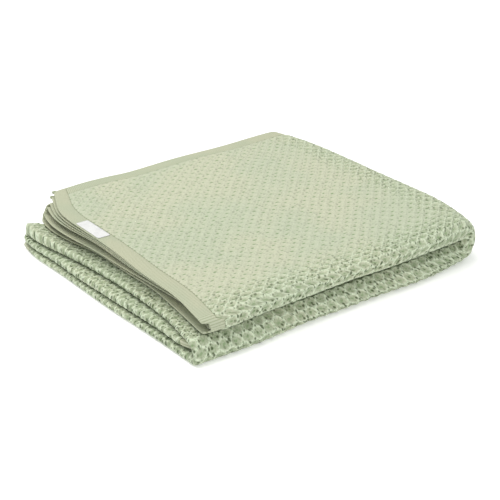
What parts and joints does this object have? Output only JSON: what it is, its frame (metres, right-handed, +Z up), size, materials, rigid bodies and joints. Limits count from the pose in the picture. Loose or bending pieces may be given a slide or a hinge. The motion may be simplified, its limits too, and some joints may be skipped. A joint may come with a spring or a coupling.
{
  "type": "folded knitted baby blanket",
  "caption": "Honeycomb knit baby blanket with ribbed edge bands and a plain sewn label, folded into a soft rectangular pile that lies flat.",
  "frame": {"origin": "middle of the pile's outline, on the surface it lies on", "axes": "+Z up, +X from the hems to the thick fold, +Y from the round front fold to the back"},
  "size_m": [0.4114, 0.3536, 0.0579],
  "materials": {
    "knit": "pale sage green cotton honeycomb knit, matt",
    "rib": "pale sage green cotton in a fine smooth rib, matt",
    "satin": "white woven satin, slightly glossy, bare"
  },
  "bodies": {
    "root": {"honeycomb_cloth": "knit", "end_band_top": "rib", "end_band_under": "rib", "side_band_outer": "rib", "side_band_inner": "rib", "satin_label": "satin"}
  },
  "joints": []
}
